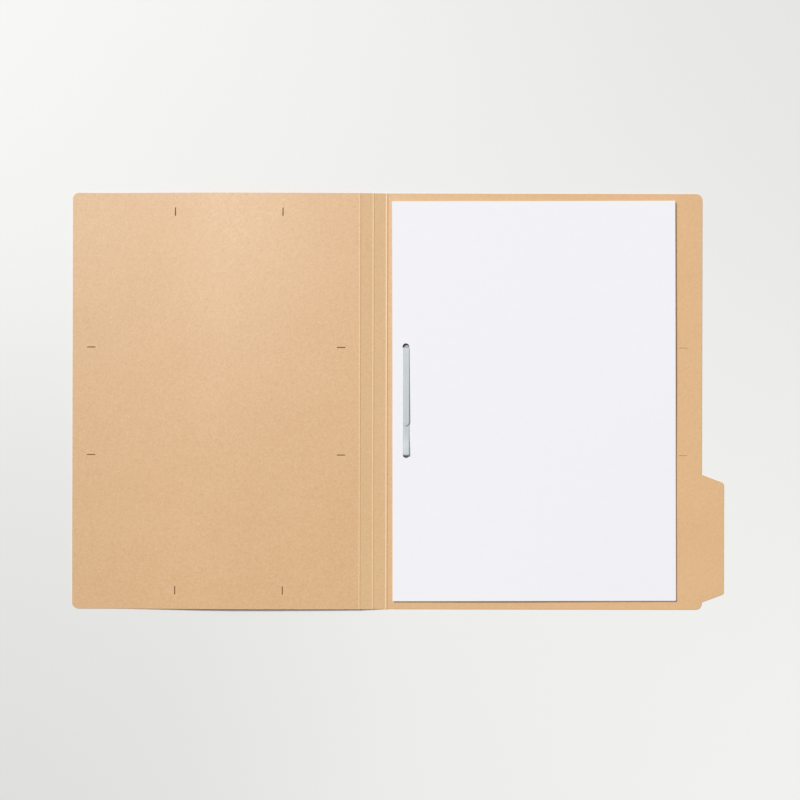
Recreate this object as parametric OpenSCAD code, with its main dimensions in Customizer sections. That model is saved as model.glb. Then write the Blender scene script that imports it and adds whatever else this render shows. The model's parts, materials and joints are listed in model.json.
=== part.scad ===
// A kraft-board file folder lying open, with a stack of punched sheets held by a two-prong strip fastener.
// X runs across the open folder, Y up along its spine and Z up from the table.
// The back cover lies flat on the table, and the front cover bows up where the scored spine springs back.
// The origin is on the table, under the middle of the folder and its tab.

/* [Sheets] */
// Width of a sheet
sheet_w = 210; // [180:1:220]
// Height of a sheet
sheet_h = 297; // [260:1:310]
// Thickness of a sheet
sheet_t = 0.1; // [0.08:0.01:0.16]
// Air between two sheets that lie on each other
sheet_gap = 0.01; // [0.01:0.01:0.04]
// Number of sheets in the stack
sheet_count = 22; // [4:1:30]
// How far each sheet lies off the middle of the stack
sheet_shift = 0.2; // [0:0.05:0.5]
// Turn of the whole stack on the fastener, in degrees
stack_turn = 0.2; // [0:0.05:0.25]
// Largest turn of a sheet against the stack, in degrees
sheet_turn = 0.05; // [0:0.01:0.1]
// Distance from a sheet's left edge to its punched holes
hole_margin = 9.9; // [9:0.1:11.5]
// Room that a punched hole leaves beside a leg of the fastener
hole_clear = 0.3; // [0.25:0.05:0.6]

/* [Board] */
// Thickness of the board
board_t = 0.5; // [0.4:0.05:0.8]
// How far the covers stand past the sheets at the head and at the foot
head_overhang = 6.2; // [4:0.1:15]
// How far the back cover stands past the sheets at its free edge
fore_overhang = 20.2; // [17:0.1:30]
// How far the front cover's free edge stops short of the back cover's, with both leaves flat
front_short = 0.7; // [0:0.1:3]
// Radius of the covers' outer corners
corner_r = 4.5; // [2:0.5:8]

/* [Spine] */
// Width of each of the two spine strips
strip_w = 10; // [6:0.5:15]
// Angle at which the sprung main fold holds the spine strips, in degrees
strip_rise = 6; // [2:0.5:9]
// Board left under the round bead of a fold
bead_inset = 0.05; // [0.02:0.01:0.1]
// Gap between a bead and the panel that turns about it
bead_gap = 0.05; // [0.03:0.01:0.1]

/* [Front cover bow] */
// How far the front cover bows up past its score
bow_rise = 1.25; // [0.5:0.05:3]
// Distance from the score to the top of the bow
bow_run = 90; // [40:1:110]
// Width of the outer stretch that lies flat on the table
landing_w = 22; // [15:1:60]

/* [Tab] */
// How far the tab stands past the back cover's free edge
tab_depth = 16.5; // [8:0.5:25]
// Length of the tab along that edge
tab_root = 95; // [60:1:140]
// Length over which each end of the tab slopes
tab_slope = 6.2; // [3:0.1:12]
// Radius of the tab's outer corners
tab_corner_r = 2.5; // [1:0.5:4]
// Straight edge between the cover's lower corner and the tab
tab_foot = 1; // [0.5:0.5:10]

/* [Slits] */
// Distance between the two slits of a pair, and between the holes of a sheet
slit_pitch = 80; // [70:1:90]
// Distance from a cover's edge or score to the middle of a slit
slit_margin = 14; // [10:0.5:18]
// Room beside the fastener's leg across a slit
slit_side_clear = 0.05; // [0.03:0.01:0.15]
// Room beside the fastener's leg at each end of a slit
slit_end_clear = 0.75; // [0.3:0.05:1]

/* [Fastener] */
// Distance from the main fold to the fastener's slits
fastener_margin = 14.4; // [13:0.1:18]
// Width of the metal strip
tongue_w = 4.5; // [4:0.1:6]
// Thickness of the metal strip
tongue_t = 0.3; // [0.2:0.05:0.35]
// Room round the base strip in its pocket under the board
pocket_clear = 0.2; // [0.1:0.05:0.4]
// Radius of the rounded bend where a leg turns into its prong
knuckle_r = 0.45; // [0.3:0.05:0.5]
// Gap between a bend and the prong that turns about it
knuckle_gap = 0.05; // [0.03:0.01:0.1]
// Height of the upper bend's middle above the sheets
upper_bend_h = 0.6; // [0.5:0.05:2.5]
// Height of the lower bend's middle above the sheets
lower_bend_h = 2.15; // [1.2:0.05:2.5]
// How far the upper prong reaches past the middle between the legs
upper_reach = 18; // [5:0.5:28]
// How far short of the middle between the legs the lower prong ends
lower_short = 2; // [1:0.5:15]
// Gap between the sheets and the lower prong's tip
tip_gap = 0.1; // [0.05:0.05:0.3]
// Gap between the two prongs under the upper one's tip
lap_gap = 0.6; // [0.3:0.05:1.5]

/* [Hidden] */
$fn = 48;
kraft = [0.85, 0.70, 0.53];
paper = [0.95, 0.95, 0.96];
metal = [0.78, 0.80, 0.82];
// Turn from one sheet's shift to the next, which spreads the shifts evenly
golden_angle = 137.5;
// Points on a rounded corner, and stations along the front cover's bow
corner_steps = 8;
bow_steps = 16;
// How far a cut runs past the faces that it opens
cut = 1;

// Sizes of the leaves, from the sheets that they cover
cover_h = sheet_h + 2 * head_overhang;
leaf_w = fastener_margin - hole_margin + sheet_w + fore_overhang;
cover_w = leaf_w - 2 * strip_w - front_short;

// Places across the open folder
spine_run = 2 * strip_w * cos(strip_rise);
fold_x = (spine_run + cover_w - leaf_w - tab_depth) / 2;
back_x = fold_x + leaf_w;
tab_x = back_x + tab_depth;
score_x = fold_x - spine_run;
front_x = score_x - cover_w;
fastener_x = fold_x + fastener_margin;

// Heights above the table
score_z = board_t + 2 * strip_w * sin(strip_rise);
bow_top = score_z + bow_rise;
sheet_step = sheet_t + sheet_gap;
stack_top = board_t + sheet_count * sheet_step;
upper_axis_z = stack_top + upper_bend_h;
lower_axis_z = stack_top + lower_bend_h;

// Folds: the bead is as deep as the board, and the turning panel starts just past it
bead_r = board_t - bead_inset;
panel_start = bead_r + bead_gap;
landing_run = cover_w - landing_w;

// Tab
tab_low = -cover_h / 2 + corner_r + tab_foot;
tab_high = tab_low + tab_root;

// Slits and punched holes, which fit the fastener's legs
slit_l = tongue_w + 2 * slit_end_clear;
slit_kerf = tongue_t + 2 * slit_side_clear;
hole_d = tongue_w + 2 * (sheet_shift + hole_clear);

// Prongs: lengths from the pitch, and slopes that keep the upper prong over the lower one
upper_l = slit_pitch / 2 + upper_reach;
lower_l = slit_pitch / 2 - lower_short;
lower_tip_h = tongue_t / 2 + tip_gap;
lower_lap_h = lower_bend_h - (lower_bend_h - lower_tip_h) * (slit_pitch - upper_l) / lower_l;
upper_tip_h = lower_lap_h + tongue_t + lap_gap;
upper_rise = asin((upper_tip_h - upper_bend_h) / upper_l);
lower_rise = asin((lower_tip_h - lower_bend_h) / lower_l);

function sheet_name(i) = str("sheet_", i < 10 ? "0" : "", i);

function unit(v) = v / norm(v);

// The arc that rounds one corner of an outline, or the corner itself where the radius is 0
function corner_arc(before, corner, after, r) =
    r == 0 ? [corner] :
    let (
        to_before = unit(before - corner),
        to_after = unit(after - corner),
        half = acos(to_before * to_after) / 2,
        centre = corner + unit(to_before + to_after) * r / sin(half),
        first = corner + to_before * r / tan(half) - centre,
        start = atan2(first[1], first[0]),
        sweep = -sign(cross(to_before, to_after)) * (180 - 2 * half)
    )
    [for (k = [0 : corner_steps])
        let (a = start + sweep * k / corner_steps)
        centre + r * [cos(a), sin(a)]];

// An outline with a radius at each corner
function rounded(corners, radii) =
    let (n = len(corners))
    [for (i = [0 : n - 1])
        each corner_arc(corners[(i + n - 1) % n], corners[i], corners[(i + 1) % n], radii[i])];

back_outline = rounded(
    [
        [fold_x, -cover_h / 2],
        [back_x, -cover_h / 2],
        [back_x, tab_low],
        [tab_x, tab_low + tab_slope],
        [tab_x, tab_high - tab_slope],
        [back_x, tab_high],
        [back_x, cover_h / 2],
        [fold_x, cover_h / 2]
    ],
    [0, corner_r, 0, tab_corner_r, tab_corner_r, 0, corner_r, 0]
);

front_outline = rounded(
    [
        [score_x, cover_h / 2],
        [front_x, cover_h / 2],
        [front_x, -cover_h / 2],
        [score_x, -cover_h / 2]
    ],
    [0, corner_r, corner_r, 0]
);

// Height of the front cover's inner face at a distance from its score
function bow_height(run) =
    run < bow_run ? score_z + bow_rise * sin(90 * run / bow_run) :
    run < landing_run ?
        board_t + (bow_top - board_t) * (1 + cos(180 * (run - bow_run) / (landing_run - bow_run))) / 2 :
    board_t;

bow_runs = [
    for (k = [0 : bow_steps]) panel_start + (landing_run - panel_start) * k / bow_steps,
    cover_w
];

// One slit right through a cover, along X or turned along Y
module slit(x, y, turn) {
    translate([x, y, 0])
        rotate([0, 0, turn])
            cube([slit_l, slit_kerf, 2 * (bow_top + cut)], center = true);
}

// The four pairs of slits of a cover, by its two side rows and the middle of its leaf
module slits(row_xs, middle_x) {
    for (side = [-1, 1]) {
        for (x = row_xs) slit(x, side * slit_pitch / 2, 0);
        for (end = [-1, 1]) {
            slit(middle_x + side * slit_pitch / 2, end * (cover_h / 2 - slit_margin), 90);
        }
    }
}

// The bead along a fold, round about the fold's axis
module bead() {
    rotate([90, 0, 0]) cylinder(r = bead_r, h = cover_h, center = true);
}

// Moves to the fold at a number of strips from the main fold, in the slope of the strips
module at_fold(strips) {
    translate([fold_x, 0, board_t])
        rotate([0, strip_rise, 0])
            translate([-strips * strip_w, 0, 0])
                children();
}

module back_cover() {
    pocket = [tongue_w + 2 * pocket_clear, slit_pitch + tongue_t + 2 * pocket_clear];
    color(kraft)
        difference() {
            union() {
                linear_extrude(board_t) polygon(back_outline);
                translate([fold_x, 0, board_t]) bead();
            }
            slits([fastener_x, back_x - slit_margin], fold_x + leaf_w / 2);
            translate([fastener_x - pocket[0] / 2, -pocket[1] / 2, -cut])
                cube([pocket[0], pocket[1], tongue_t + cut]);
        }
}

// A spine strip that turns about one fold and carries the bead of the next
module spine_strip(strips) {
    color(kraft)
        at_fold(strips)
            union() {
                translate([-strip_w, -cover_h / 2, -board_t])
                    cube([strip_w - panel_start, cover_h, board_t]);
                translate([-strip_w, 0, 0]) bead();
            }
}

module spine_strip_inner() {
    spine_strip(0);
}

module spine_strip_outer() {
    spine_strip(1);
}

module front_cover() {
    inner = [for (run = bow_runs) [score_x - run, bow_height(run)]];
    outer = [for (k = [len(inner) - 1 : -1 : 0]) inner[k] - [0, board_t]];
    color(kraft)
        difference() {
            intersection() {
                rotate([90, 0, 0])
                    linear_extrude(cover_h, center = true) polygon(concat(inner, outer));
                translate([0, 0, -cut])
                    linear_extrude(bow_top + 2 * cut) polygon(front_outline);
            }
            slits([front_x + slit_margin, score_x - slit_margin], fold_x - leaf_w / 2);
        }
}

// A leg that stands up from the base strip and ends in a rounded bend
module leg(y, axis_z) {
    translate([fastener_x - tongue_w / 2, y - tongue_t / 2, 0])
        cube([tongue_w, tongue_t, axis_z]);
    translate([fastener_x, y, axis_z])
        rotate([0, 90, 0])
            cylinder(r = knuckle_r, h = tongue_w, center = true);
}

module fastener_base() {
    length = slit_pitch + tongue_t;
    color(metal)
        union() {
            translate([fastener_x - tongue_w / 2, -length / 2, 0])
                cube([tongue_w, length, tongue_t]);
            leg(slit_pitch / 2, upper_axis_z);
            leg(-slit_pitch / 2, lower_axis_z);
        }
}

// A prong along +Y from its bend, with a full-round tip
module prong(length) {
    start = knuckle_r + knuckle_gap;
    straight = length - tongue_w / 2;
    translate([0, 0, -tongue_t / 2])
        linear_extrude(tongue_t)
            union() {
                translate([-tongue_w / 2, start]) square([tongue_w, straight - start]);
                translate([0, straight]) circle(d = tongue_w);
            }
}

module upper_prong() {
    color(metal)
        translate([fastener_x, slit_pitch / 2, upper_axis_z])
            rotate([0, 0, 180])
                rotate([upper_rise, 0, 0])
                    prong(upper_l);
}

module lower_prong() {
    color(metal)
        translate([fastener_x, -slit_pitch / 2, lower_axis_z])
            rotate([lower_rise, 0, 0])
                prong(lower_l);
}

// One sheet of the stack, counted from the back cover, shifted and turned about the middle of its holes
module sheet(i) {
    heading = golden_angle * i;
    color(paper)
        translate([
            fastener_x + sheet_shift * cos(heading),
            sheet_shift * sin(heading),
            board_t + (i - 1) * sheet_step
        ])
            rotate([0, 0, stack_turn + sheet_turn * cos(3 * heading)])
                difference() {
                    translate([-hole_margin, -sheet_h / 2, 0])
                        cube([sheet_w, sheet_h, sheet_t]);
                    for (side = [-1, 1]) {
                        translate([0, side * slit_pitch / 2, -cut])
                            cylinder(d = hole_d, h = sheet_t + 2 * cut);
                    }
                }
}

back_cover();
spine_strip_inner();
spine_strip_outer();
front_cover();
fastener_base();
upper_prong();
lower_prong();
for (i = [1 : sheet_count]) {
    sheet(i);
}
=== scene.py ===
import json
import math
from collections import namedtuple

import bpy
import numpy as np
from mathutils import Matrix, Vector, geometry

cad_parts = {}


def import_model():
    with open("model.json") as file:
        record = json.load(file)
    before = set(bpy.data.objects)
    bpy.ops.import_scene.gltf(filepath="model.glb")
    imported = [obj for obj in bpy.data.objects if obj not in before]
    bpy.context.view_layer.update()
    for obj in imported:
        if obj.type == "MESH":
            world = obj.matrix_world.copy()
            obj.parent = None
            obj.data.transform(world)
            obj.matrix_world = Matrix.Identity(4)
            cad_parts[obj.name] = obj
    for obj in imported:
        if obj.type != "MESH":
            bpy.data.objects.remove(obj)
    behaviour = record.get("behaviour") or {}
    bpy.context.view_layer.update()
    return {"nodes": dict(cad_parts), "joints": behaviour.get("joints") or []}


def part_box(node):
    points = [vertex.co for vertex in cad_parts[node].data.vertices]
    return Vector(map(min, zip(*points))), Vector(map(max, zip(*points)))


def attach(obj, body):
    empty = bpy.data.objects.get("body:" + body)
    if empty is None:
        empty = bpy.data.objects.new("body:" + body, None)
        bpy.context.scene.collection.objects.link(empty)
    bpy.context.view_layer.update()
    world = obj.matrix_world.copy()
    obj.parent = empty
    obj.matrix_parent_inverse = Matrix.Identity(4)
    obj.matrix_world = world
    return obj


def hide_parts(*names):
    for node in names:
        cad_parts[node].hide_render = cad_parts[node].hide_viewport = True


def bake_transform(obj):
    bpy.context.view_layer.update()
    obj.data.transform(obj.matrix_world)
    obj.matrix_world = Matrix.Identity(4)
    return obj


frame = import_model()

MM = 0.001

# Values from the frame, in metres
joints = {joint["name"]: joint for joint in frame["joints"]}
fold = Vector(joints["main_fold"]["pos_m"])
middle = Vector(joints["middle_score"]["pos_m"])
score = Vector(joints["cover_score"]["pos_m"])
upper_bend = Vector(joints["upper_prong_lift"]["pos_m"])
lower_bend = Vector(joints["lower_prong_lift"]["pos_m"])
back_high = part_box("back_cover")[1]
front_low, front_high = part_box("front_cover")
upper_low, upper_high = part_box("upper_prong")
lower_low, lower_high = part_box("lower_prong")
sheet_nodes = sorted(name for name in frame["nodes"] if name.startswith("sheet_"))

# Sizes of the board, from the frame where it gives them
BOARD_T = fold.z
HALF_H = back_high.y
STRIP_W = (fold - middle).length
TAB_DEPTH = 16.5 * MM
TAB_ROOT = 95 * MM
TAB_SLOPE = 6.2 * MM
TAB_FOOT = 1 * MM
TAB_CORNER = 2.5 * MM
CORNER = 4.5 * MM
BOW_RUN = 90 * MM
LANDING_W = 22 * MM
leaf_w = back_high.x - TAB_DEPTH - fold.x
cover_w = score.x - front_low.x
strip_slope = math.atan2(middle.z - fold.z, fold.x - middle.x)
front_u = -(2 * STRIP_W + cover_w)

# Slits through the board: a slit is its middle, whether it runs along u, its width above and underneath,
# and how far its lip is raised
Slit = namedtuple("Slit", "place along_u kerf under lip")
SLIT_PITCH = upper_bend.y - lower_bend.y
SLIT_MARGIN = 14 * MM
SLIT_L = 6 * MM
SLIT_UNDER = 0.02 * MM
FRONT_KERF = 0.62 * MM
BACK_KERF = 0.12 * MM
LEG_KERF = 0.62 * MM
FRONT_LIP = 0.08 * MM
LIP_W = 0.3 * MM
DRAWN_W = 1.2 * MM

# Sheets and their punched holes
HOLE_D = 5 * MM
HOLE_SIDES = 24
UPPER_HOLE = (upper_bend.x - 0.15 * MM, upper_bend.y + 0.56 * MM)
LOWER_HOLE = (lower_bend.x + 0.1 * MM, lower_bend.y + 0.36 * MM)
SHEET_W = 210 * MM
SHEET_H = 297 * MM
SHEET_T = 0.1 * MM

# Metal strip, and the pocket that its base lies in
Pocket = namedtuple("Pocket", "place width length depth")
TONGUE_W = upper_high.x - upper_low.x
TONGUE_T = 0.3 * MM
CROWN = 0.005 * MM
POCKET_CLEAR = 0.2 * MM
POCKET_WALL = 0.02 * MM

# Fold beads: height over the inner face, and half width
SCORE_BEAD = (0.30 * MM, 0.75 * MM)
MAIN_BEAD = (0.45 * MM, 1.0 * MM)

# How far round a fold the board bends, and the reach and steps of the mesh's lines there and along the bow
FOLD_ZONE = 1.8 * MM
FOLD_STEP = 0.15 * MM
BOW_STEP = 3 * MM

# Broken edges of board, metal and paper, and the angle in degrees past which an edge shows as sharp
BOARD_EDGE = 0.08 * MM
METAL_EDGE = 0.04 * MM
PAPER_EDGE = 0.02 * MM
SHARP_ANGLE = 32

# Flat outlines: the range of an unlimited one, the distance at which points count as one, and the least
# divisor of a miter, which keeps sharp corners short
ANYWHERE = (-10, 10)
SNAP = 1e-8
LEAST_MITER = 0.3


def arc(centre, radius, start, end, steps=8):
    """Points on an arc, angles in degrees."""
    angles = np.radians(np.linspace(start, end, steps + 1))
    return [(centre[0] + radius * math.cos(a), centre[1] + radius * math.sin(a)) for a in angles]


def rounded(corners, radii, inset=0.0):
    """An anticlockwise outline moved in by inset. A corner with a radius is one that points outwards."""
    points = []
    count = len(corners)
    for i, radius in enumerate(radii):
        corner = Vector(corners[i])
        before = (corner - Vector(corners[i - 1])).normalized()
        after = (Vector(corners[(i + 1) % count]) - corner).normalized()
        normal_before = Vector((-before.y, before.x))
        normal_after = Vector((-after.y, after.x))
        miter = (normal_before + normal_after) / (1 + normal_before.dot(normal_after))
        moved = corner + miter * inset
        if radius == 0:
            points.append(tuple(moved))
            continue
        turn = math.degrees(math.atan2(before.cross(after), before.dot(after)))
        start = math.degrees(math.atan2(-normal_before.y, -normal_before.x))
        points += arc(moved + miter * (radius - inset), radius - inset, start, start + turn)
    return points


def box_loop(centre, width, height):
    """A rectangle as an outline."""
    x, y = centre
    w, h = width / 2, height / 2
    return [(x - w, y - h), (x + w, y - h), (x + w, y + h), (x - w, y + h)]


def slit_loop(slit, out):
    """The outline at a distance out round a slit's mouth."""
    length, width = SLIT_L + 2 * out, slit.kerf + 2 * out
    return box_loop(slit.place, length if slit.along_u else width, width if slit.along_u else length)


def by_slit(slit, u, v, room):
    """True for the points of a slit's edge and as far round it as room."""
    off = (abs(u - slit.place[0]), abs(v - slit.place[1]))
    along, across = off if slit.along_u else off[::-1]
    return along < SLIT_L / 2 + room and across < slit.kerf / 2 + room


def drawn_in(slit, u, v, edge):
    """A point by a slit as it lies underneath, where a narrow slit draws in the board round it."""
    if slit.under == slit.kerf:
        return u, v
    middle_u, middle_v = slit.place
    across = v - middle_v if slit.along_u else u - middle_u
    mouth, under = slit.kerf / 2 + edge, slit.under / 2
    share = max(abs(across) - mouth, 0) / DRAWN_W
    moved = math.copysign(under + (mouth + DRAWN_W - under) * share ** 2, across)
    return (u, middle_v + moved) if slit.along_u else (middle_u + moved, v)


def inside(point, loop):
    """True if the point lies in the closed outline."""
    x, y = point
    odd = False
    for (x1, y1), (x2, y2) in zip(loop, loop[1:] + loop[:1]):
        if (y1 > y) != (y2 > y) and x < x1 + (y - y1) * (x2 - x1) / (y2 - y1):
            odd = not odd
    return odd


def flat_cells(outline, holes, lines):
    """Points and triangles of an outline with holes, with edges along the given lines."""
    points, edges = [], []
    for loop in [outline, *holes]:
        first, count = len(points), len(loop)
        edges += [(first + k, first + (k + 1) % count) for k in range(count)]
        points += loop
    for line in lines:
        edges.append((len(points), len(points) + 1))
        points += line
    made = geometry.delaunay_2d_cdt([Vector(p) for p in points], edges, [], 0, SNAP)
    flat = [tuple(p) for p in made[0]]
    cells = []
    for cell in made[2]:
        middle_point = np.mean([flat[i] for i in cell], axis=0)
        if inside(middle_point, outline) and not any(inside(middle_point, hole) for hole in holes):
            cells.append(tuple(cell))
    return flat, cells


def rim_of(flat, cells, edge, keep):
    """The boundary edges of the cells, and their points moved out by edge but not past the kept range."""
    directed = {(cell[k], cell[(k + 1) % 3]) for cell in cells for k in range(3)}
    border = sorted(pair for pair in directed if pair[::-1] not in directed)
    normals = {}
    for a, b in border:
        along = Vector(flat[b]) - Vector(flat[a])
        outward = Vector((along.y, -along.x)).normalized()
        normals.setdefault(a, []).append(outward)
        normals.setdefault(b, []).append(outward)
    moved = {}
    for i, (one, other) in normals.items():
        point = Vector(flat[i]) + (one + other) / max(1 + one.dot(other), LEAST_MITER) * edge
        moved[i] = (min(max(point.x, keep[0]), keep[1]), point.y)
    return border, moved


def new_piece(name, points, faces, places, rims):
    """A smooth mesh that keeps the flat place of each point, and how much it is an edge: 1 at a cut edge, and
    -1 in a slit or hole, where shade is painted."""
    mesh = bpy.data.meshes.new(name)
    mesh.from_pydata(points.tolist(), [], faces)
    flat = mesh.attributes.new("flat", "FLOAT_VECTOR", "POINT")
    flat.data.foreach_set("vector", places.astype(np.float32).ravel())
    mesh.attributes.new("rim", "FLOAT", "POINT").data.foreach_set("value", rims)
    mesh.polygons.foreach_set("use_smooth", [True] * len(mesh.polygons))
    mesh.set_sharp_from_angle(angle=math.radians(SHARP_ANGLE))
    piece = bpy.data.objects.new(name, mesh)
    bpy.context.scene.collection.objects.link(piece)
    return piece


def plate(name, outline, holes, lines, thickness, edge, place, keep=ANYWHERE, slits=(), pocket=None):
    """A closed sheet of even thickness with broken edges, slits, and a pocket underneath.
    place takes flat places and heights over the underside, and gives points in the frame."""
    mouths = [slit_loop(slit, edge) for slit in slits]
    rings = [slit_loop(slit, edge + out) for slit in slits for out in (LIP_W, 2 * LIP_W, DRAWN_W)]
    recess = []
    if pocket:
        recess = box_loop(pocket.place, pocket.width - POCKET_WALL, pocket.length - POCKET_WALL)
        for more in (0, -2 * POCKET_WALL):
            rings.append(box_loop(pocket.place, pocket.width + more, pocket.length + more))
    for ring in rings:
        lines = [*lines, *zip(ring, ring[1:] + ring[:1])]
    flat, cells = flat_cells(outline, [*holes, *mouths], lines)
    border, moved = rim_of(flat, cells, edge, keep)
    used = sorted({i for cell in cells for i in cell})
    levels = [(used, flat, thickness, 0.0), (sorted(moved), moved, thickness - edge, 1.0),
              (sorted(moved), moved, edge, 1.0), (used, flat, 0.0, 0.0)]
    rows, index, rims = [], [], []
    for keys, source, height, rim in levels:
        underneath = height < thickness / 2
        index.append({key: len(rows) + k for k, key in enumerate(keys)})
        for key in keys:
            u, v = source[key]
            raised, tone = height, rim
            # A tone of -1 marks where shade is painted: the walls of holes and slits, and the underside round
            # a slit
            if rim and any(inside((u, v), hole) for hole in holes):
                tone = -rim
            if underneath and recess and inside(flat[key], recess):
                raised += pocket.depth
            for slit in slits:
                if by_slit(slit, u, v, 3 * edge):
                    tone = -1.0 if underneath else -rim
                    raised += 0 if underneath else slit.lip
                if underneath and by_slit(slit, u, v, DRAWN_W + 2 * edge):
                    u, v = drawn_in(slit, u, v, edge)
            rows.append((u, v, raised))
            rims.append(tone)
    faces = [[index[0][i] for i in cell] for cell in cells]
    faces += [[index[3][i] for i in reversed(cell)] for cell in cells]
    for a, b in border:
        faces += [[upper[b], upper[a], lower[a], lower[b]] for upper, lower in zip(index, index[1:])]
    rows = np.array(rows)
    return new_piece(name, place(rows[:, 0], rows[:, 1], rows[:, 2]), faces, rows, rims)


# Colours, as linear shares of red, green and blue. Two in a pair are the ends of a cloudy mix.
KRAFT = ((0.70, 0.437, 0.2245), (0.72, 0.4565, 0.24))
DARK_FIBRE = (0.60, 0.351, 0.17)
PALE_FIBRE = (0.83, 0.577, 0.339)
FLECK = (0.42, 0.24, 0.115)
# Painted sheen on the spine strips
PAINTED_STRIP_SHEEN = (0.83, 0.607, 0.353)
# Painted highlight beside each fold's bead, on the side that faces the light
PAINTED_CREASE_HIGHLIGHT = (0.95, 0.72, 0.48)
CUT_BOARD = (0.78, 0.56, 0.35)
# Painted shade on the walls of slits and round them underneath
PAINTED_SLIT_SHADE = (0.22, 0.09, 0.025)
# Painted shadow on the board in the sheets' upper hole
PAINTED_HOLE_SHADOW = (0.02, 0.019, 0.018)
# Painted grey shade on the board in both holes
PAINTED_HOLE_SHADE = (0.43, 0.42, 0.41)
PAPER = ((0.874, 0.869, 0.902), (0.884, 0.879, 0.912))
# Painted shade at the paper's cut edges
PAINTED_PAPER_EDGE_SHADE = (0.6, 0.59, 0.58)
# Painted shade on the punched edges of the holes
PAINTED_PUNCHED_SHADE = (0.16, 0.15, 0.14)
STEEL = ((0.377, 0.405, 0.418), (0.401, 0.429, 0.441))
FLOOR_TONES = ((0.859, 0.858, 0.841), (0.874, 0.873, 0.856))

# Noise over flat places, with its features per metre along two axes, and the range that most of it lies in
KRAFT_CLOUDS = {"scale": (18, 26), "detail": 3.0}
DARK_FIBRES = {"scale": (1300, 320), "roughness": 0.6}
PALE_FIBRES = {"scale": (1500, 380), "roughness": 0.6}
FLECKS = {"scale": (900, 2100), "roughness": 0.55}
KRAFT_GLOSS = {"scale": (700, 500), "detail": 3.0}
KRAFT_FELT = {"scale": (1300, 900), "detail": 4.0, "roughness": 0.6}
PAPER_CLOUDS = {"scale": (160, 220), "detail": 4.0, "roughness": 0.6}
PAPER_GLOSS = {"scale": (900, 900)}
PAPER_TOOTH = {"scale": (2600, 2200), "detail": 3.0}
STEEL_PATCHES = {"scale": (120, 420), "detail": 3.0}
STEEL_ROLLING = {"scale": (60, 9000)}
NOISE_RANGE = (0.3, 0.7)

# Fibres and flecks: their turns in degrees, the spans of noise that they fade in over, and their strength
FIBRE_TURNS = (15, 75, 135)
PALE_TURN = 30
DARK_SPAN = (0.52, 0.75)
PALE_SPAN = (0.54, 0.78)
FLECK_SPAN = (0.68, 0.74)
FIBRE_STRENGTH = 0.5

# How strongly cut edges are tinted, and how strongly shade is painted at paper edges, in slits and in punched
# holes
CUT_BOARD_TINT = 0.45
SLIT_SHADE_TINT = 0.95
PAPER_EDGE_SHADE_TINT = 0.25
PUNCHED_SHADE_TINT = 0.85

# Finish: ranges of roughness, levels of shine, and bumps
KRAFT_ROUGH = (0.30, 0.37)
KRAFT_SHINE = 0.5
FELT_BUMP = {"Strength": 0.25, "Distance": 0.05 * MM}
PAPER_ROUGH = (0.72, 0.85)
TOOTH_BUMP = {"Strength": 0.12, "Distance": 0.02 * MM}
STEEL_ROUGH = (0.42, 0.56)
STEEL_METALLIC = 0.55
ROLLING_BUMP = {"Strength": 0.08, "Distance": 0.01 * MM}
FLOOR_ROUGH = 0.7
FLOOR_SHINE = 0.2

# Painted light on the board: each fold's place and the strength of its painted highlight, how far off the
# fold the highlight lies, the half widths of its core and fade, the fade and tint of the spine strips'
# painted sheen, and the core, fade and strength of round patches of painted shadow and shade
CREASE_HIGHLIGHTS = ((0, 0.6), (-STRIP_W, 0.3), (-2 * STRIP_W, 0.3))
CREASE_HIGHLIGHT_OFF = -0.25 * MM
CREASE_HIGHLIGHT_FADE = (0.2 * MM, 0.6 * MM)
STRIP_SHEEN_FADE = 0.5 * MM
STRIP_SHEEN_TINT = 0.2
HOLE_SHADOW_MARK = (2.9 * MM, 3.4 * MM, 0.97)
UPPER_HOLE_SHADE = (1.75 * MM, 2.05 * MM, 0.97)
UPPER_HOLE_SHADE_OFF = (0.6 * MM, -0.7 * MM)
LOWER_HOLE_SHADE = (2.6 * MM, 4.2 * MM, 0.85)

# Across the board, in metres from the main fold: where its texture grows plainer, and the range of a painted
# light that brightens it towards the tab
PLAIN_FADE = (-0.02, 0.02)
PLAIN_SHARE = 0.35
PAINTED_LIGHT_REACH = (-0.24, 0.24)
PAINTED_LIGHT_RANGE = (0.945, 1.045)

# Floor, in metres: its grain, the painted light and painted shade of its bright and dim corners, and the
# painted shade of a patch at its lower left
FLOOR_GRAIN = {"Scale": 6.0, "Detail": 2.0}
FLOOR_NEAR = (0.45, 1.0)
CORNER_LIGHT_REACH = (-0.12, 0.12)
PAINTED_CORNER_LIGHT = (1.055, 0.905)
PAINTED_DIM_PLACE = (-0.3, -0.2, 0.0)
PAINTED_DIM_REACH = (0.1, 0.34)
PAINTED_DIM_TONE = 0.94

# Places of a colour mix node's inputs and of its result
MIX_FACTOR = 0
MIX_BASE = 6
MIX_OTHER = 7
MIX_RESULT = 2


def new_material(name):
    """A material with its shader, and a function that adds a node and sets its inputs."""
    made = bpy.data.materials.new(name)
    made.use_nodes = True
    tree = made.node_tree

    def add(kind, links=(), **values):
        item = tree.nodes.new(kind)
        for key, value in values.items():
            if key in item.inputs:
                item.inputs[key].default_value = value
            else:
                setattr(item, key, value)
        for key, source in dict(links).items():
            tree.links.new(source, item.inputs[key])
        return item

    return made, add, tree.nodes["Principled BSDF"], tree.links


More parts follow.
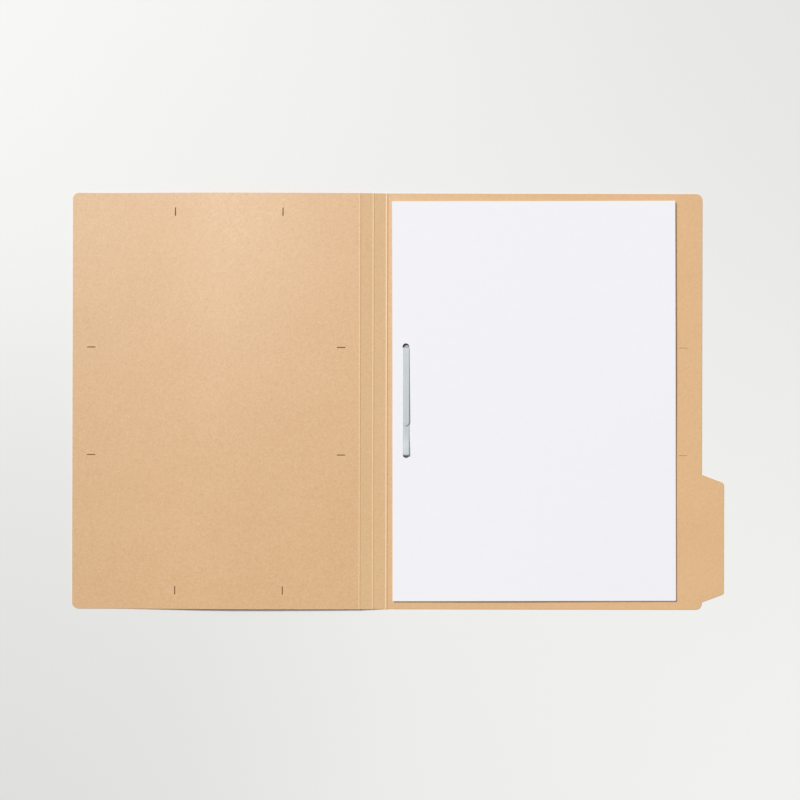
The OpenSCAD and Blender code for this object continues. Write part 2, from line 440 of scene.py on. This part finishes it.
def flat_noise(add, scale, detail=2.0, roughness=0.5, turn=0.0):
    """Noise over the flat places of a piece, turned by an angle in degrees."""
    places = add("ShaderNodeAttribute", attribute_name="flat")
    turned = add("ShaderNodeVectorRotate", {"Vector": places.outputs["Vector"]}, rotation_type="Z_AXIS",
                 Angle=math.radians(turn))
    stretched = add("ShaderNodeVectorMath", {0: turned.outputs[0]}, operation="MULTIPLY")
    stretched.inputs[1].default_value = (*scale, scale[0])
    noise = add("ShaderNodeTexNoise", {"Vector": stretched.outputs[0]}, Scale=1.0, Detail=detail,
                Roughness=roughness)
    return noise.outputs["Fac"]


def band(add, source, low, high, to_low, to_high, kind="LINEAR"):
    """A value taken from one range to another, held at both ends."""
    return add("ShaderNodeMapRange", {"Value": source}, interpolation_type=kind, **{
        "From Min": low, "From Max": high, "To Min": to_low, "To Max": to_high}).outputs["Result"]


def tint(add, base, factor, other, blend="MIX"):
    """A colour mixed with another by a factor."""
    mix = add("ShaderNodeMix", data_type="RGBA", blend_type=blend)
    for number, value in ((MIX_FACTOR, factor), (MIX_BASE, base), (MIX_OTHER, other)):
        if isinstance(value, tuple):
            mix.inputs[number].default_value = (*value, 1.0)
        elif isinstance(value, float):
            mix.inputs[number].default_value = value
        else:
            mix.id_data.links.new(value, mix.inputs[number])
    return mix.outputs[MIX_RESULT]


def cloudy(add, tones, noise):
    """A mix of two tones by soft clouds."""
    clouds = band(add, flat_noise(add, **noise), *NOISE_RANGE, 0.0, 1.0)
    return tint(add, tones[0], clouds, tones[1])


def rim_value(add):
    """How much a point is an edge: 1 at a cut edge, and -1 in a slit or hole, where shade is painted."""
    return add("ShaderNodeAttribute", attribute_name="rim").outputs["Fac"]


def distance_to(add, places, point):
    """The distance of each place from a point."""
    gap = add("ShaderNodeVectorMath", {0: places}, operation="DISTANCE")
    gap.inputs[1].default_value = point
    return gap.outputs["Value"]


def away_from(add, across, place_u):
    """The distance of each place across the board from a line along it."""
    off = add("ShaderNodeMath", {0: across}, operation="SUBTRACT")
    off.inputs[1].default_value = place_u
    return add("ShaderNodeMath", {0: off.outputs[0]}, operation="ABSOLUTE").outputs[0]


def round_mark(add, places, x, y, mark):
    """How strong a round patch of painted shade on the back cover's face is. A patch is its core, its fade
    and its strength.
    """
    core, fade, strength = mark
    return band(add, distance_to(add, places, (x - fold.x, y, BOARD_T)), core, fade, strength, 0.0)


def kraft_fibres(add, colour):
    """Crossed dark and pale fibres, and dark flecks."""
    for turn in FIBRE_TURNS:
        dark = band(add, flat_noise(add, **DARK_FIBRES, turn=turn), *DARK_SPAN, 0.0, FIBRE_STRENGTH)
        colour = tint(add, colour, dark, DARK_FIBRE)
        crossing = flat_noise(add, **PALE_FIBRES, turn=turn + PALE_TURN)
        pale = band(add, crossing, *PALE_SPAN, 0.0, FIBRE_STRENGTH)
        colour = tint(add, colour, pale, PALE_FIBRE)
    flecks = band(add, flat_noise(add, **FLECKS), *FLECK_SPAN, 0.0, FIBRE_STRENGTH)
    return tint(add, colour, flecks, FLECK)


def kraft_marks(add, colour, places, across):
    """Painted sheen on the spine strips, painted highlights beside the creases, and painted shadow and shade
    on the board in the sheets' holes round the fastener's legs.
    """
    # Painted sheen: the spine strips made paler where the soft light's reflection would be
    strip_sheen = band(add, away_from(add, across, -STRIP_W), STRIP_W - STRIP_SHEEN_FADE, STRIP_W, STRIP_SHEEN_TINT, 0.0)
    colour = tint(add, colour, strip_sheen, PAINTED_STRIP_SHEEN)
    # Painted highlight along each crease, set off to the side that faces the light
    for place_u, strength in CREASE_HIGHLIGHTS:
        crease_highlight = band(add, away_from(add, across, place_u + CREASE_HIGHLIGHT_OFF), *CREASE_HIGHLIGHT_FADE, strength, 0.0)
        colour = tint(add, colour, crease_highlight, PAINTED_CREASE_HIGHLIGHT)
    # Painted shadow on the board in the upper hole, where the hole's rim shades it
    x, y = UPPER_HOLE
    colour = tint(add, colour, round_mark(add, places, x, y, HOLE_SHADOW_MARK), PAINTED_HOLE_SHADOW)
    # Painted grey shade on the board round the legs, in both holes
    off_x, off_y = UPPER_HOLE_SHADE_OFF
    colour = tint(add, colour, round_mark(add, places, x + off_x, y + off_y, UPPER_HOLE_SHADE), PAINTED_HOLE_SHADE)
    return tint(add, colour, round_mark(add, places, lower_bend.x, lower_bend.y, LOWER_HOLE_SHADE), PAINTED_HOLE_SHADE)


def edge_tints(add, colour, cut, edge_tone_and_shade_tint, hollow_shade, hollow_shade_tint):
    """Tints the cut edges, which on paper is painted shade, and paints shade on the edges in slits and holes.
    """
    rim = rim_value(add)
    colour = tint(add, colour, band(add, rim, 0.0, 1.0, 0.0, edge_tone_and_shade_tint), cut)
    return tint(add, colour, band(add, rim, -1.0, 0.0, hollow_shade_tint, 0.0), hollow_shade)


def kraft_material():
    """Kraft board: cloudy tone, crossed fibres, dark flecks, pale cut edges, painted shade in the slits and a
    felt-like bump.
    The front cover is more mottled than the back cover, and painted light leaves it a little darker."""
    made, add, shader, links = new_material("kraft_board")
    places = add("ShaderNodeAttribute", attribute_name="flat").outputs["Vector"]
    across = add("ShaderNodeSeparateXYZ", {"Vector": places}).outputs["X"]
    plain = cloudy(add, KRAFT, KRAFT_CLOUDS)
    colour = kraft_fibres(add, plain)
    colour = tint(add, colour, band(add, across, *PLAIN_FADE, 0.0, PLAIN_SHARE), plain)
    # Painted light: brighter towards the tab, darker towards the front cover
    colour = tint(add, colour, 1.0, band(add, across, *PAINTED_LIGHT_REACH, *PAINTED_LIGHT_RANGE), "MULTIPLY")
    colour = kraft_marks(add, colour, places, across)
    # Pale cut edges, and painted shade in the slits
    colour = edge_tints(add, colour, CUT_BOARD, CUT_BOARD_TINT, PAINTED_SLIT_SHADE, SLIT_SHADE_TINT)
    links.new(colour, shader.inputs["Base Color"])
    links.new(band(add, rim_value(add), -1.0, 0.0, 0.0, KRAFT_SHINE), shader.inputs["Specular IOR Level"])
    gloss = band(add, flat_noise(add, **KRAFT_GLOSS), *NOISE_RANGE, *KRAFT_ROUGH)
    links.new(gloss, shader.inputs["Roughness"])
    felt = add("ShaderNodeBump", {"Height": flat_noise(add, **KRAFT_FELT)}, **FELT_BUMP)
    links.new(felt.outputs["Normal"], shader.inputs["Normal"])
    return made


def paper_material():
    """Plain white office paper: faint formation clouds and a very fine tooth. Its cut edges are greyed and
    its punched edges darkened with painted shade."""
    made, add, shader, links = new_material("sheet_paper")
    colour = cloudy(add, PAPER, PAPER_CLOUDS)
    # Painted shade at the cut edges and on the punched edges
    colour = edge_tints(add, colour, PAINTED_PAPER_EDGE_SHADE, PAPER_EDGE_SHADE_TINT, PAINTED_PUNCHED_SHADE, PUNCHED_SHADE_TINT)
    links.new(colour, shader.inputs["Base Color"])
    gloss = band(add, flat_noise(add, **PAPER_GLOSS), *NOISE_RANGE, *PAPER_ROUGH)
    links.new(gloss, shader.inputs["Roughness"])
    tooth = add("ShaderNodeBump", {"Height": flat_noise(add, **PAPER_TOOTH)}, **TOOTH_BUMP)
    links.new(tooth.outputs["Normal"], shader.inputs["Normal"])
    return made


def metal_material():
    """Tinned strip with a satin face: fine rolling lines along its length and faint dull patches."""
    made, add, shader, links = new_material("fastener_steel")
    links.new(cloudy(add, STEEL, STEEL_PATCHES), shader.inputs["Base Color"])
    shader.inputs["Metallic"].default_value = STEEL_METALLIC
    rolling = flat_noise(add, **STEEL_ROLLING)
    links.new(band(add, rolling, *NOISE_RANGE, *STEEL_ROUGH), shader.inputs["Roughness"])
    lines = add("ShaderNodeBump", {"Height": rolling}, **ROLLING_BUMP)
    links.new(lines.outputs["Normal"], shader.inputs["Normal"])
    return made


def floor_material():
    """A pale matte table top, with painted light at two opposite corners, painted shade at the other two and
    painted shade at the lower left.
    """
    made, add, shader, links = new_material("floor")
    places = add("ShaderNodeTexCoord").outputs["Object"]
    grain = add("ShaderNodeTexNoise", {"Vector": places}, **FLOOR_GRAIN).outputs["Fac"]
    colour = tint(add, FLOOR_TONES[0], grain, FLOOR_TONES[1])
    parts = add("ShaderNodeSeparateXYZ", {"Vector": places}).outputs
    product = add("ShaderNodeMath", {0: parts["X"], 1: parts["Y"]}, operation="MULTIPLY").outputs[0]
    distance = add("ShaderNodeVectorMath", {0: places}, operation="LENGTH").outputs["Value"]
    near = band(add, distance, *FLOOR_NEAR, 1.0, 0.0)
    slant = add("ShaderNodeMath", {0: product, 1: near}, operation="MULTIPLY").outputs[0]
    # Painted light at two opposite corners and painted shade at the other two
    corners = band(add, slant, *CORNER_LIGHT_REACH, *PAINTED_CORNER_LIGHT, "SMOOTHSTEP")
    colour = tint(add, colour, 1.0, corners, "MULTIPLY")
    # Painted shade at the lower left
    painted_dim = band(add, distance_to(add, places, PAINTED_DIM_PLACE), *PAINTED_DIM_REACH, PAINTED_DIM_TONE, 1.0, "SMOOTHSTEP")
    colour = tint(add, colour, 1.0, painted_dim, "MULTIPLY")
    links.new(colour, shader.inputs["Base Color"])
    shader.inputs["Roughness"].default_value = FLOOR_ROUGH
    shader.inputs["Specular IOR Level"].default_value = FLOOR_SHINE
    return made


kraft = kraft_material()
paper = paper_material()
metal = metal_material()


def dress(piece, material, slot, *nodes):
    """Gives a piece its material and hides the nodes that it stands for. slot is not used."""
    piece.data.materials.append(material)
    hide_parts(*nodes)
    return piece


# Board: u runs across the flat board from the main fold, positive to the tab

def bow_height(run):
    """Height of the front cover's inner face at a distance from its score."""
    top, landing = front_high.z, cover_w - LANDING_W
    rise = score.z + (top - score.z) * np.sin(np.pi / 2 * np.clip(run / BOW_RUN, 0, 1))
    share = np.clip((run - BOW_RUN) / (landing - BOW_RUN), 0, 1)
    fall = BOARD_T + (top - BOARD_T) * (1 + np.cos(np.pi * share)) / 2
    return np.where(run < BOW_RUN, rise, fall)


def bead_height(u):
    """How far the folds' beads raise the board."""
    total = np.zeros_like(u)
    for place_u, (height, half) in ((0, MAIN_BEAD), (-STRIP_W, SCORE_BEAD), (-2 * STRIP_W, SCORE_BEAD)):
        total += height * np.cos(np.pi / 2 * np.clip((u - place_u) / half, -1, 1)) ** 2
    return total


def board_place(u, v, h):
    """A point of the board as it lies: flat back cover, sloping spine strips, bowed front cover."""
    run = -u - 2 * STRIP_W
    on_strip = np.clip(-u, 0, 2 * STRIP_W)
    x = fold.x + np.maximum(u, 0) - on_strip * math.cos(strip_slope) - np.maximum(run, 0)
    z = np.where(run > 0, bow_height(run), BOARD_T + on_strip * math.sin(strip_slope))
    lean = np.where((u < 0) & (run < 0), strip_slope, 0.0)
    depth = BOARD_T - h
    return np.stack([x - np.sin(lean) * depth, v, z - np.cos(lean) * depth + bead_height(u)], axis=1)


def side_slits(place_u, kerf, under, lip):
    """A pair of slits along u, one over the other."""
    return [Slit((place_u, sign * SLIT_PITCH / 2), True, kerf, under, lip) for sign in (-1, 1)]


def end_slits(middle_u, kerf, under, lip):
    """A pair of slits along v at the top of a cover and one at its foot."""
    end = HALF_H - SLIT_MARGIN
    places = [(middle_u + side * SLIT_PITCH / 2, sign * end) for side in (-1, 1) for sign in (-1, 1)]
    return [Slit(place, False, kerf, under, lip) for place in places]


def cross_lines(us):
    """Lines right across the board at places along u."""
    return [((u, -2 * HALF_H), (u, 2 * HALF_H)) for u in us]


def fold_lines(place_u):
    """Places along u of close lines round a fold, where the board bends."""
    return list(place_u + np.arange(-FOLD_ZONE, FOLD_ZONE + FOLD_STEP / 2, FOLD_STEP))


def fold_blend(piece):
    """Bakes a board piece's transform into its mesh."""
    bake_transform(piece)


def back_board():
    """Back cover with its tab, to the middle of the inner spine strip."""
    seam = -STRIP_W / 2
    tab_low = -HALF_H + CORNER + TAB_FOOT
    tab_high = tab_low + TAB_ROOT
    tab_u = leaf_w + TAB_DEPTH
    corners = [(seam, -HALF_H), (leaf_w, -HALF_H), (leaf_w, tab_low), (tab_u, tab_low + TAB_SLOPE),
               (tab_u, tab_high - TAB_SLOPE), (leaf_w, tab_high), (leaf_w, HALF_H), (seam, HALF_H)]
    radii = [0, CORNER, 0, TAB_CORNER, TAB_CORNER, 0, CORNER, 0]
    outline = [(u if u > seam + 2 * BOARD_EDGE else seam, v) for u, v in rounded(corners, radii, BOARD_EDGE)]
    fastener_u = upper_bend.x - fold.x
    slits = side_slits(fastener_u, LEG_KERF, LEG_KERF, 0)
    slits += side_slits(leaf_w - SLIT_MARGIN, BACK_KERF, SLIT_UNDER, 0)
    slits += end_slits(leaf_w / 2, BACK_KERF, SLIT_UNDER, 0)
    pocket = Pocket((fastener_u, 0), TONGUE_W + 2 * POCKET_CLEAR, SLIT_PITCH + LEG_KERF + 2 * POCKET_CLEAR,
                    TONGUE_T + 2 * CROWN)
    piece = plate("back_cover_board", outline, [], cross_lines(fold_lines(0)), BOARD_T, BOARD_EDGE,
                  board_place, (seam, tab_u), slits, pocket)
    fold_blend(piece)
    return dress(piece, kraft, "kraft_board", "back_cover")


def spine_board():
    """The two halves of the spine strips on either side of the middle score."""
    low, high = -1.5 * STRIP_W, -0.5 * STRIP_W
    edge_v = HALF_H - BOARD_EDGE
    outline = [(low, -edge_v), (high, -edge_v), (high, edge_v), (low, edge_v)]
    piece = plate("spine_board", outline, [], cross_lines(fold_lines(-STRIP_W)), BOARD_T, BOARD_EDGE,
                  board_place, (low, high))
    fold_blend(piece)
    return dress(piece, kraft, "kraft_board", "spine_strip_inner", "spine_strip_outer")


def front_board():
    """Front cover, from the middle of the outer spine strip to its free edge."""
    seam = -1.5 * STRIP_W
    corners = [(front_u, -HALF_H), (seam, -HALF_H), (seam, HALF_H), (front_u, HALF_H)]
    radii = [CORNER, 0, 0, CORNER]
    outline = [(u if u < seam - 2 * BOARD_EDGE else seam, v) for u, v in rounded(corners, radii, BOARD_EDGE)]
    score_u = -2 * STRIP_W
    slits = side_slits(front_u + SLIT_MARGIN, FRONT_KERF, SLIT_UNDER, FRONT_LIP)
    slits += side_slits(score_u - SLIT_MARGIN, FRONT_KERF, SLIT_UNDER, FRONT_LIP)
    slits += end_slits(-leaf_w / 2, FRONT_KERF, SLIT_UNDER, FRONT_LIP)
    bow_us = np.arange(score_u - FOLD_ZONE - BOW_STEP, front_u + LANDING_W - BOW_STEP, -BOW_STEP)
    lines = cross_lines(fold_lines(score_u) + list(bow_us))
    piece = plate("front_cover_board", outline, [], lines, BOARD_T, BOARD_EDGE, board_place, (front_u, seam),
                  slits)
    fold_blend(piece)
    return dress(piece, kraft, "kraft_board", "front_cover")


# Fastener: a base strip whose ends turn up into its legs, and two prongs that go on from the legs

BEND_R = 0.7 * MM
ROOT_R = 0.4 * MM
LEG_LEAN = 0.2 * MM
LEG_SEAM_Z = 1.0 * MM
BEND_STEPS = 14
PRONG_STEP = 4 * MM
CROWN_LINES = (-0.6, -0.2, 0.2, 0.6)
TIP_L = 3.4 * MM
TIP_STEPS = 16
SAG_RUN = 13 * MM
SAG_DROP = 1.28 * MM
SAG_R = 150 * MM


def bent_path(points, radii):
    """A polyline with its inner corners rounded, as points with their distance along it."""
    path = [Vector(points[0])]
    for i, radius in enumerate(radii, start=1):
        corner = Vector(points[i])
        before = (corner - Vector(points[i - 1])).normalized()
        after = (Vector(points[i + 1]) - corner).normalized()
        turn = math.atan2(before.cross(after), before.dot(after))
        reach = radius * math.tan(abs(turn) / 2)
        normal = Vector((-before.y, before.x)) * math.copysign(1, turn)
        centre = corner - before * reach + normal * radius
        start = math.degrees(math.atan2(*(corner - before * reach - centre).yx))
        path += [Vector(p) for p in arc(centre, radius, start, start + math.degrees(turn), BEND_STEPS)]
    path.append(Vector(points[-1]))
    path = np.array(path)
    along = np.concatenate([[0], np.cumsum(np.linalg.norm(np.diff(path, axis=0), axis=1))])
    return path, along


def leg_point(bend):
    """Where the base's leg ends and the prong goes on, as a distance from the middle and a height."""
    share = (LEG_SEAM_Z - TONGUE_T / 2) / (bend.z - TONGUE_T / 2)
    return abs(bend.y) + LEG_LEAN * share, LEG_SEAM_Z


def bent_strip(name, points, radii, side, round_tip):
    """A metal strip along a bent path. side is 1 where the path's first axis is +Y, and -1 where it is -Y."""
    path, along = bent_path(points, radii)
    slope = np.gradient(path, along, axis=0)
    heading = np.unwrap(np.arctan2(slope[:, 1], slope[:, 0]))
    length, half = along[-1], TONGUE_W / 2

    def place(s, w, h):
        turn = np.interp(s, along, heading)
        out = TONGUE_T / 2 - h - CROWN * (w / half) ** 2
        y = np.interp(s, along, path[:, 0]) + np.sin(turn) * out
        z = np.interp(s, along, path[:, 1]) - np.cos(turn) * out
        return np.stack([upper_bend.x - side * w, side * y, z], axis=1)

    edge = METAL_EDGE
    far_end = [(length, -half + edge), (length, half - edge)]
    if round_tip:
        half_round = arc((0, 0), 1, -90, 90, TIP_STEPS)
        far_end = [(length - TIP_L + s * TIP_L, w * (half - edge)) for s, w in half_round]
    outline = [(0, -half + edge), *far_end, (0, half - edge)]
    stations = list(along[1:-1]) + list(np.arange(along[-2] + PRONG_STEP, length - half, PRONG_STEP))
    lines = [((s, -TONGUE_W), (s, TONGUE_W)) for s in stations]
    lines += [((0, w * half), (length, w * half)) for w in CROWN_LINES]
    return plate(name, outline, [], lines, TONGUE_T, edge, place, (0, length))


def base_strip():
    """The strip under the back cover, with the lower part of both legs."""
    base_z = TONGUE_T / 2
    upper_y, upper_z = leg_point(upper_bend)
    lower_y, lower_z = leg_point(lower_bend)
    points = [(-lower_y, lower_z), (lower_bend.y, base_z), (upper_bend.y, base_z), (upper_y, upper_z)]
    piece = bent_strip("base_strip", points, [ROOT_R, ROOT_R], 1, False)
    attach(piece, "back_leaf")
    return dress(piece, metal, "fastener_steel", "fastener_base")


def prong(name, bend, tip, side, node, sag=()):
    """The upper part of a leg, its bend and the prong with its round tip. side is 1 at the folder's top.
    sag lists the points that the prong bends through."""
    points = [leg_point(bend), (abs(bend.y) + LEG_LEAN, bend.z), *sag, (side * tip.y, tip.z)]
    piece = bent_strip(name, points, [BEND_R] + [SAG_R] * len(sag), side, True)
    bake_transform(piece)
    return dress(piece, metal, "fastener_steel", node)


def upper_strip():
    """The long prong that lies over the other."""
    tip = Vector((0, upper_low.y, upper_high.z - TONGUE_T / 2))
    return prong("upper_strip", upper_bend, tip, 1, "upper_prong")


def lower_strip():
    """The prong that sags under the upper one's tip."""
    tip = Vector((0, lower_high.y, lower_low.z + TONGUE_T / 2))
    sag = [(-lower_bend.y - SAG_RUN, lower_bend.z - SAG_DROP)]
    return prong("lower_strip", lower_bend, tip, -1, "lower_prong", sag)


# Sheets: each lies where its solid is, and lifts a little at its foot and at its upper free edge.
# Their holes lie over one another, each as wide as the opening that the whole stack leaves clear.

SHEET_CELLS = (12, 16)

# The lift at the foot starts at a share of the height below the middle, and waves across the width
FOOT_LIFT = 0.8 * MM
FOOT_FROM = 0.05
WAVE_MEAN = 0.42
WAVE_SWING = 0.48
WAVE_CREST = 0.42

# The lift at the free edge starts at a share of the width, and fades in upwards over a share of the height
SIDE_LIFT = 1.0 * MM
SIDE_FROM = 0.6
UPPER_FROM = -0.2
UPPER_SPAN = 0.27


def sheet_lift(a, b):
    """How far the top sheet lifts at a distance from its filed edge and a height over its middle."""
    foot = np.clip((-b / SHEET_H - FOOT_FROM) / (0.5 - FOOT_FROM), 0, 1) ** 2
    wave = np.maximum(WAVE_MEAN + WAVE_SWING * np.cos(2 * np.pi * (a / SHEET_W - WAVE_CREST)), 0)
    side = np.clip((a / SHEET_W - SIDE_FROM) / (1 - SIDE_FROM), 0, 1) ** 2
    upper = np.clip((b / SHEET_H - UPPER_FROM) / UPPER_SPAN, 0, 1)
    return FOOT_LIFT * foot * wave + SIDE_LIFT * side * upper ** 2 * (3 - 2 * upper)


def sheet_piece(i, name):
    """One sheet of the stack. Its shift and turn come from its solid's own corners."""
    node = frame["nodes"][name]
    corners = np.array([vertex.co for vertex in node.data.vertices])
    left = corners[np.argmin(corners[:, 0] - corners[:, 1])]
    right = corners[np.argmax(corners[:, 0] + corners[:, 1])]
    turn = math.atan2(right[1] - left[1], right[0] - left[0])
    low, high = corners.min(axis=0), corners.max(axis=0)
    middle_point = (low + high) / 2
    share = (i + 1) / len(sheet_nodes)

    def place(a, b, h):
        off = a - SHEET_W / 2
        x = middle_point[0] + off * math.cos(turn) - b * math.sin(turn)
        y = middle_point[1] + off * math.sin(turn) + b * math.cos(turn)
        return np.stack([x, y, low[2] + h + share * sheet_lift(a, b)], axis=1)

    def own_place(x, y):
        off_x, off_y = x - middle_point[0], y - middle_point[1]
        a = SHEET_W / 2 + off_x * math.cos(turn) + off_y * math.sin(turn)
        return a, off_y * math.cos(turn) - off_x * math.sin(turn)

    edge = PAPER_EDGE
    outline = box_loop((SHEET_W / 2, 0), SHEET_W - 2 * edge, SHEET_H - 2 * edge)
    last_turn = 360 - 360 / HOLE_SIDES
    holes = [arc(own_place(*hole), HOLE_D / 2 + edge, 0, last_turn, HOLE_SIDES - 1)
             for hole in (LOWER_HOLE, UPPER_HOLE)]
    columns, rows = SHEET_CELLS
    column_as = [SHEET_W * k / columns for k in range(1, columns)]
    row_bs = [SHEET_H * (k / rows - 0.5) for k in range(1, rows)]
    lines = [((a, -SHEET_H), (a, SHEET_H)) for a in column_as]
    lines += [((-SHEET_W, b), (2 * SHEET_W, b)) for b in row_bs]
    piece = plate("filed_" + name, outline, holes, lines, SHEET_T, edge, place)
    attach(piece, "back_leaf")
    return dress(piece, paper, "sheet_paper", name)


back_board()
spine_board()
front_board()
base_strip()
upper_strip()
lower_strip()
for i, name in enumerate(sheet_nodes):
    sheet_piece(i, name)


# Stage, lights and camera: places and sizes in metres, angles in degrees

FLOOR_SIZE = 60.0
FLOOR_GAP = 0.02 * MM
KEY_PLACE = (-1.0, 1.0, 2.0)
KEY_STRENGTH = 2.4
KEY_SPREAD = 8
SOFTBOX_PLACE = (-0.35, 0.42, 2.0)
SOFTBOX_SIZE = 0.4
SOFTBOX_POWER = 8.0
SKY_LIGHT = 0.2
SKY_SEEN = 0.66
CAMERA_H = 1.35
VIEW_CENTRE = (1.25 * MM, 0.97 * MM)
ROLL = 0.12

# The camera's sensor in millimetres, the picture's width in pixels, and its pixels per metre on the table
SENSOR = 36.0
FRAME_PIXELS = 800
PIXELS_PER_METRE = 1343


def floor():
    """A pale floor that the folder lies on."""
    mesh = bpy.data.meshes.new("floor")
    corners = [(x, y, 0) for x, y in box_loop((0, 0), FLOOR_SIZE, FLOOR_SIZE)]
    mesh.from_pydata(corners, [], [(0, 1, 2, 3)])
    made = bpy.data.objects.new("floor", mesh)
    bpy.context.scene.collection.objects.link(made)
    made.location.z = -FLOOR_GAP
    mesh.materials.append(floor_material())


def lamp(light, place):
    """Puts a light at a place, facing the folder."""
    made = bpy.data.objects.new(light.name, light)
    made.location = place
    made.rotation_euler = Vector(place).to_track_quat("Z", "Y").to_euler()
    bpy.context.scene.collection.objects.link(made)


def key_light():
    """The main light, an even one from the upper left."""
    light = bpy.data.lights.new("key", "SUN")
    light.energy = KEY_STRENGTH
    light.angle = math.radians(KEY_SPREAD)
    lamp(light, KEY_PLACE)


def softbox():
    """A soft light high over the upper left, whose sheen shows on the front cover."""
    light = bpy.data.lights.new("softbox", "AREA")
    light.shape = "RECTANGLE"
    light.size = SOFTBOX_SIZE
    light.size_y = SOFTBOX_SIZE
    light.energy = SOFTBOX_POWER
    lamp(light, SOFTBOX_PLACE)


def world():
    """Even light from all round. The camera and reflections see it about as bright as the far floor."""
    made = bpy.data.worlds.new("studio")
    made.use_nodes = True
    tree = made.node_tree
    background = tree.nodes["Background"]
    background.inputs["Color"].default_value = (1.0, 1.0, 1.0, 1.0)
    level = tree.nodes.new("ShaderNodeMapRange")
    level.inputs["To Min"].default_value = SKY_LIGHT
    level.inputs["To Max"].default_value = SKY_SEEN
    path = tree.nodes.new("ShaderNodeLightPath")
    shown = path.outputs["Is Camera Ray"]
    for kind in ("Is Glossy Ray", "Is Transmission Ray"):
        either = tree.nodes.new("ShaderNodeMath")
        either.operation = "MAXIMUM"
        tree.links.new(shown, either.inputs[0])
        tree.links.new(path.outputs[kind], either.inputs[1])
        shown = either.outputs[0]
    tree.links.new(shown, level.inputs["Value"])
    tree.links.new(level.outputs["Result"], background.inputs["Strength"])
    bpy.context.scene.world = made


def camera():
    """A long lens straight above the folder, with the photograph's small roll."""
    data = bpy.data.cameras.new("camera")
    data.sensor_width = SENSOR
    data.lens = SENSOR * PIXELS_PER_METRE * CAMERA_H / FRAME_PIXELS
    made = bpy.data.objects.new("camera", data)
    made.location = (*VIEW_CENTRE, CAMERA_H)
    made.rotation_euler = (0, 0, math.radians(ROLL))
    bpy.context.scene.collection.objects.link(made)
    bpy.context.scene.camera = made


floor()
key_light()
softbox()
world()
camera()
bpy.context.scene.view_settings.view_transform = "Standard"
